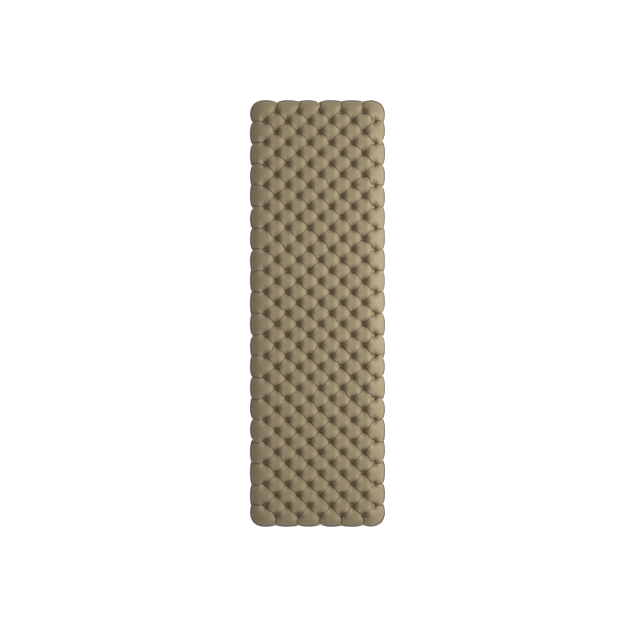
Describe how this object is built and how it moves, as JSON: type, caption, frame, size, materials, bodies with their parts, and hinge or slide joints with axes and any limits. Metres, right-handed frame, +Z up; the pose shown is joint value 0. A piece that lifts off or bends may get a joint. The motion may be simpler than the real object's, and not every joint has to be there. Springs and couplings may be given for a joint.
{
  "type": "inflatable sleeping pad",
  "caption": "Long flat air pad of two coated fabric sheets joined at the edge and at staggered spot welds, with a layered flat valve on its underside.",
  "frame": {"origin": "on the ground, under the middle of the pad's outline", "axes": "+X across the pad, +Y along it towards the head end, +Z up from the ground through the pad"},
  "size_m": [0.59, 1.88, 0.065],
  "materials": {
    "shell_fabric": "coated plain weave with a faint sheen",
    "weld_film": "fused coating",
    "valve_plastic": "soft moulded, matt",
    "plug_plastic": "soft moulded, satin",
    "carrier_plastic": "hard moulded",
    "silicone": "milky silicone",
    "cap_plastic": "soft moulded, satin"
  },
  "bodies": {
    "pad": {"top_sheet": "shell_fabric", "bottom_sheet": "shell_fabric", "spot_welds": "weld_film", "perimeter_weld": "weld_film", "valve_base": "valve_plastic", "plug_tether_ring": "plug_plastic"},
    "deflation_plug": {"deflation_plug": "plug_plastic", "plug_strap": "plug_plastic", "check_carrier": "carrier_plastic", "cap_tether_ring": "cap_plastic"},
    "check_disc": {"check_disc": "silicone"},
    "inlet_cap": {"inlet_cap": "cap_plastic", "cap_strap": "cap_plastic"}
  },
  "joints": [
    {"name": "plug_hinge", "type": "hinge", "parent": "pad", "child": "deflation_plug", "pos_m": [-0.232, 0.7747, 0.0085], "axis": [-1, 0, 0], "range_deg": [0, 110]},
    {"name": "cap_hinge", "type": "hinge", "parent": "deflation_plug", "child": "inlet_cap", "pos_m": [-0.232, 0.783, 0.0053], "axis": [-1, 0, 0], "range_deg": [0, 120]},
    {"name": "check_lift", "type": "slide", "parent": "deflation_plug", "child": "check_disc", "axis": [0, 0, 1], "range_m": [0, 0.002], "stiffness_N_per_m": 60}
  ]
}
